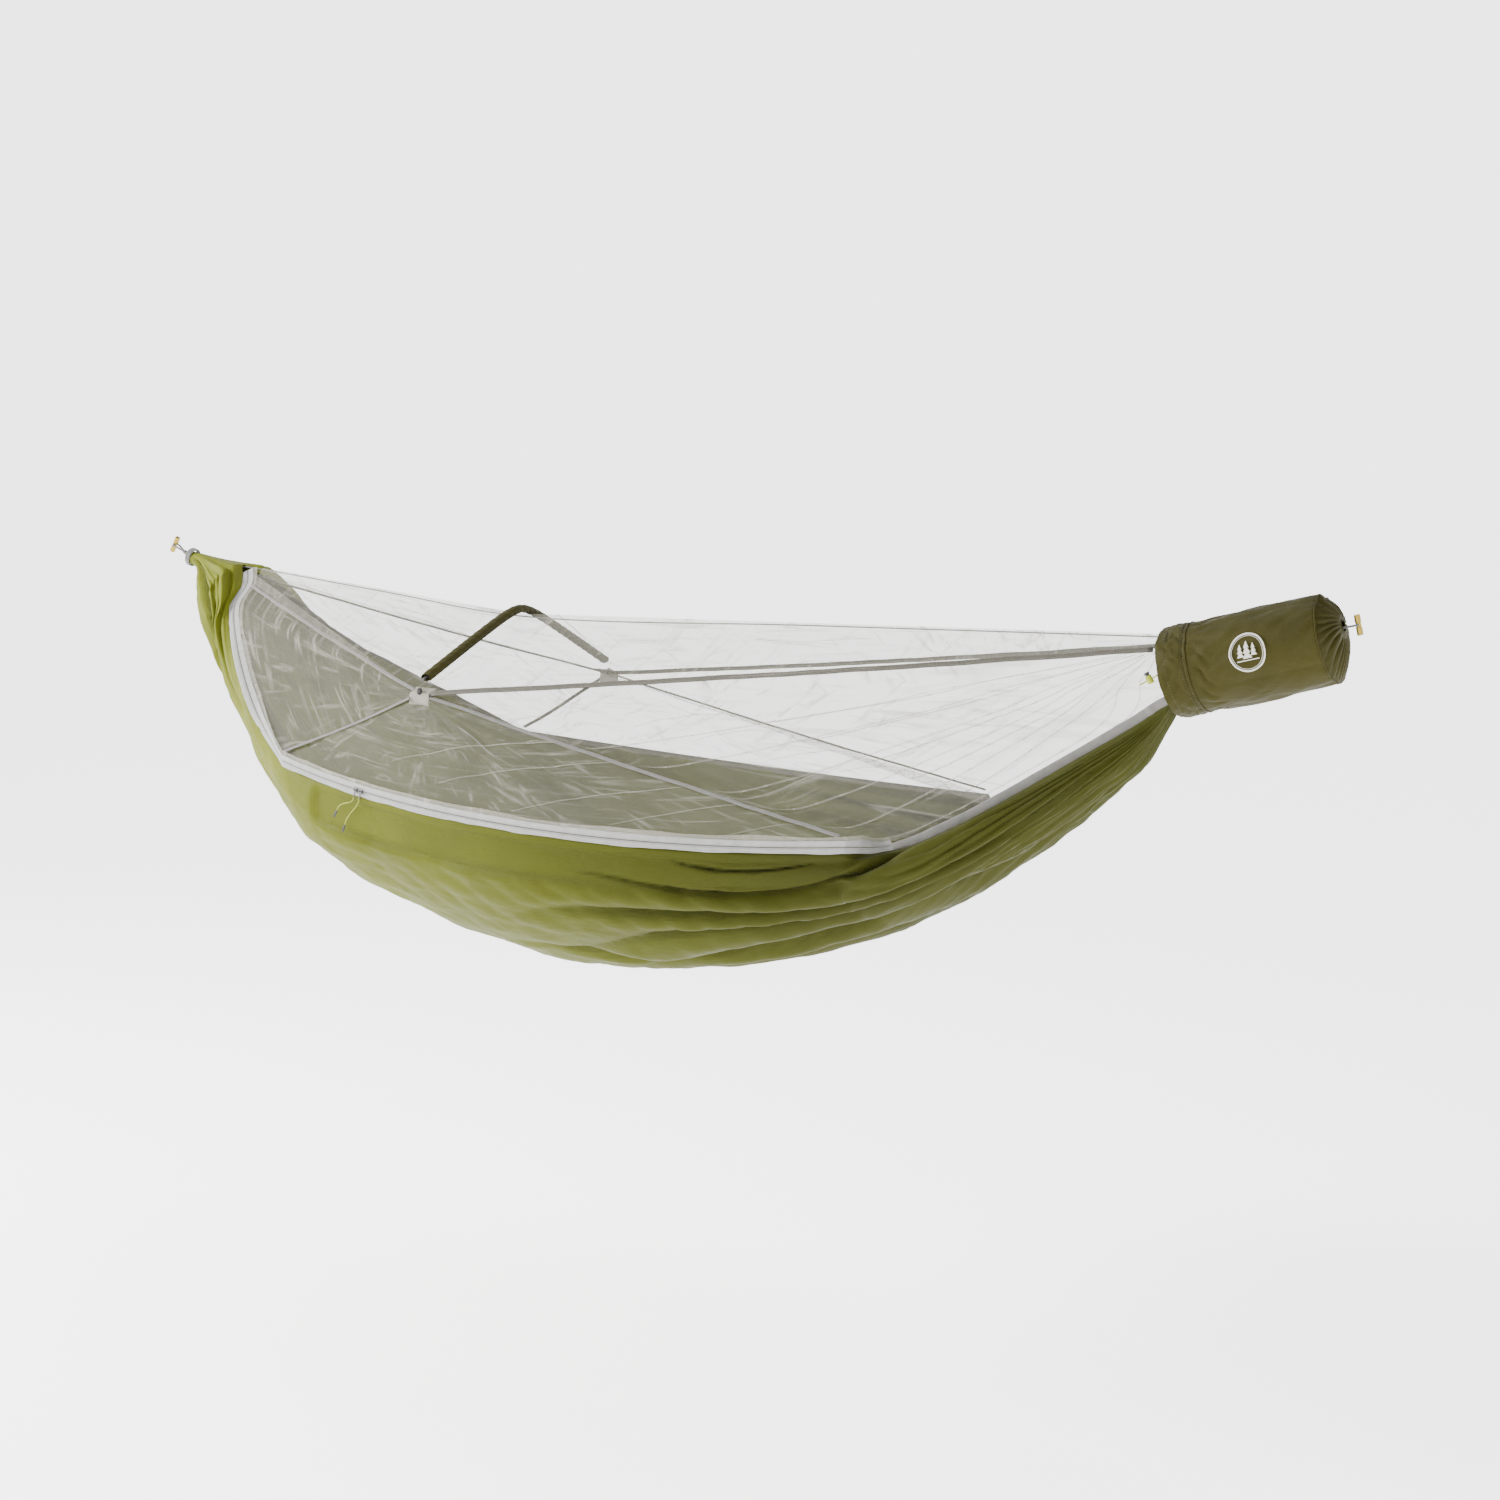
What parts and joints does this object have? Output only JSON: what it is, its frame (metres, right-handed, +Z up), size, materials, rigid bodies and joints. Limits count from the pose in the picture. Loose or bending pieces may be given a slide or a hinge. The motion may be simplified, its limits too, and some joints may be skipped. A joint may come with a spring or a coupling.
{
  "type": "camping hammock with insect net",
  "caption": "Gathered-end camping hammock with a zip-on insect net over a bent spreader pole, end loops with toggles and a captive stuff sack.",
  "frame": {"origin": "the head gather, where the head end loop leaves the gathered fabric and the hammock hangs", "axes": "+X from the head gather to the foot gather, +Z up, -Y the side with the zip"},
  "size_m": [2.617, 0.9751, 0.7816],
  "materials": {
    "body_fabric": "ripstop nylon, soft satin olive green",
    "sack_fabric": "thin nylon, darker olive with a slight sheen",
    "net": "fine polyester insect netting, semi-transparent",
    "tape": "grosgrain tape, warm grey",
    "zip_white": "woven zip tape and nylon coil, off white",
    "slider_metal": "cast zinc with a grey coat, worn bright at the edges",
    "lime_cord": "braided polyester cord, lime",
    "grey_cord": "braided cord, grey",
    "pole_fibre": "glass fibre rod, satin dark grey",
    "ferrule": "drawn aluminium tube",
    "black_plastic": "moulded nylon, black",
    "toggle_metal": "anodised aluminium, gold",
    "spring_steel": "music wire",
    "lime_plastic": "moulded nylon, lime"
  },
  "bodies": {
    "hammock": {"hammock_body": "body_fabric", "head_gather_binding": "sack_fabric", "foot_gather_binding": "sack_fabric", "far_rim_binding": "tape", "near_rim_binding": "tape", "near_side_net": "net", "far_side_net": "net", "top_net": "net", "ridgeline": "grey_cord", "near_head_tape": "tape", "near_lower_head_tape": "tape", "near_lower_foot_tape": "tape", "near_foot_tape": "tape", "far_head_tape": "tape", "far_lower_head_tape": "tape", "far_lower_foot_tape": "tape", "far_foot_tape": "tape", "zip_lower_tape": "zip_white", "zip_lower_chain": "zip_white", "zip_upper_tape_head": "zip_white", "zip_upper_tape_foot": "zip_white", "zip_upper_chain_head": "zip_white", "zip_upper_chain_foot": "zip_white", "zip_end_stop": "slider_metal", "pole_near": "pole_fibre", "pole_far": "pole_fibre", "pole_ferrule": "ferrule", "pole_sleeve": "body_fabric", "near_patch": "tape", "far_patch": "tape", "near_grommet": "black_plastic", "far_grommet": "black_plastic", "pole_tip_near": "black_plastic", "pole_tip_far": "black_plastic", "head_end_cord": "grey_cord", "foot_end_cord": "grey_cord"},
    "net_flap": {"net_flap": "net", "zip_upper_tape_flap": "zip_white", "zip_upper_chain_flap": "zip_white"},
    "slider_head": {"slider_head": "slider_metal"},
    "slider_foot": {"slider_foot": "slider_metal"},
    "pull_head": {"pull_tab_head": "slider_metal", "pull_cord_head": "lime_cord", "pull_tip_head": "black_plastic"},
    "pull_foot": {"pull_tab_foot": "slider_metal", "pull_cord_foot": "lime_cord", "pull_tip_foot": "black_plastic"},
    "head_toggle": {"head_toggle": "toggle_metal"},
    "foot_toggle": {"foot_toggle": "toggle_metal"},
    "sack": {"sack_body": "sack_fabric", "sack_collar": "sack_fabric", "sack_end_piping": "sack_fabric", "sack_end_panel": "sack_fabric", "drawcord": "lime_cord", "drawcord_tail": "lime_cord"},
    "cord_lock": {"cord_lock_barrel": "lime_plastic", "cord_lock_spring": "spring_steel"},
    "plunger": {"cord_lock_plunger": "black_plastic"}
  },
  "joints": [
    {"name": "net_flap_open", "type": "hinge", "parent": "hammock", "child": "net_flap", "pos_m": [0.66441, -0.44002, -0.35579], "axis": [-0.9949, -0.0871, 0.0518], "range_deg": [0, 60]},
    {"name": "slider_head_travel", "type": "hinge", "parent": "hammock", "child": "slider_head", "pos_m": [1.05949, 0.91806, -0.06154], "axis": [0.0714, -0.2394, 0.9683], "range_deg": [-8, 0]},
    {"name": "slider_foot_travel", "type": "hinge", "parent": "hammock", "child": "slider_foot", "pos_m": [1.05949, 0.91806, -0.06154], "axis": [0.0714, -0.2394, 0.9683], "range_deg": [0, 34]},
    {"name": "pull_head_swing", "type": "hinge", "parent": "slider_head", "child": "pull_head", "pos_m": [0.79262, -0.46899, -0.3848], "axis": [-0.9803, 0.1624, 0.1124], "range_deg": [0, 110]},
    {"name": "pull_foot_swing", "type": "hinge", "parent": "slider_foot", "child": "pull_foot", "pos_m": [0.80626, -0.47119, -0.38635], "axis": [-0.982, 0.1532, 0.1103], "range_deg": [0, 110]},
    {"name": "head_toggle_tilt", "type": "hinge", "parent": "hammock", "child": "head_toggle", "pos_m": [-0.06, 0, 0.022], "axis": [0, 1, 0], "range_deg": [-60, 60]},
    {"name": "foot_toggle_tilt", "type": "hinge", "parent": "hammock", "child": "foot_toggle", "pos_m": [2.535, 0, 0.0085], "axis": [0, 1, 0], "range_deg": [-60, 60]},
    {"name": "sack_slide", "type": "slide", "parent": "hammock", "child": "sack", "axis": [0.9636, 0, 0.2672], "range_m": [0, 0.006]},
    {"name": "cord_lock_slide", "type": "slide", "parent": "sack", "child": "cord_lock", "axis": [-0.8486, 0, -0.5291], "range_m": [-0.008, 0.003]},
    {"name": "plunger_press", "type": "slide", "parent": "cord_lock", "child": "plunger", "axis": [0.5291, 0, -0.8486], "range_m": [0, 0.0025], "stiffness_N_per_m": 300, "springref_m": -0.004, "deforming": ["cord_lock_spring"]}
  ]
}
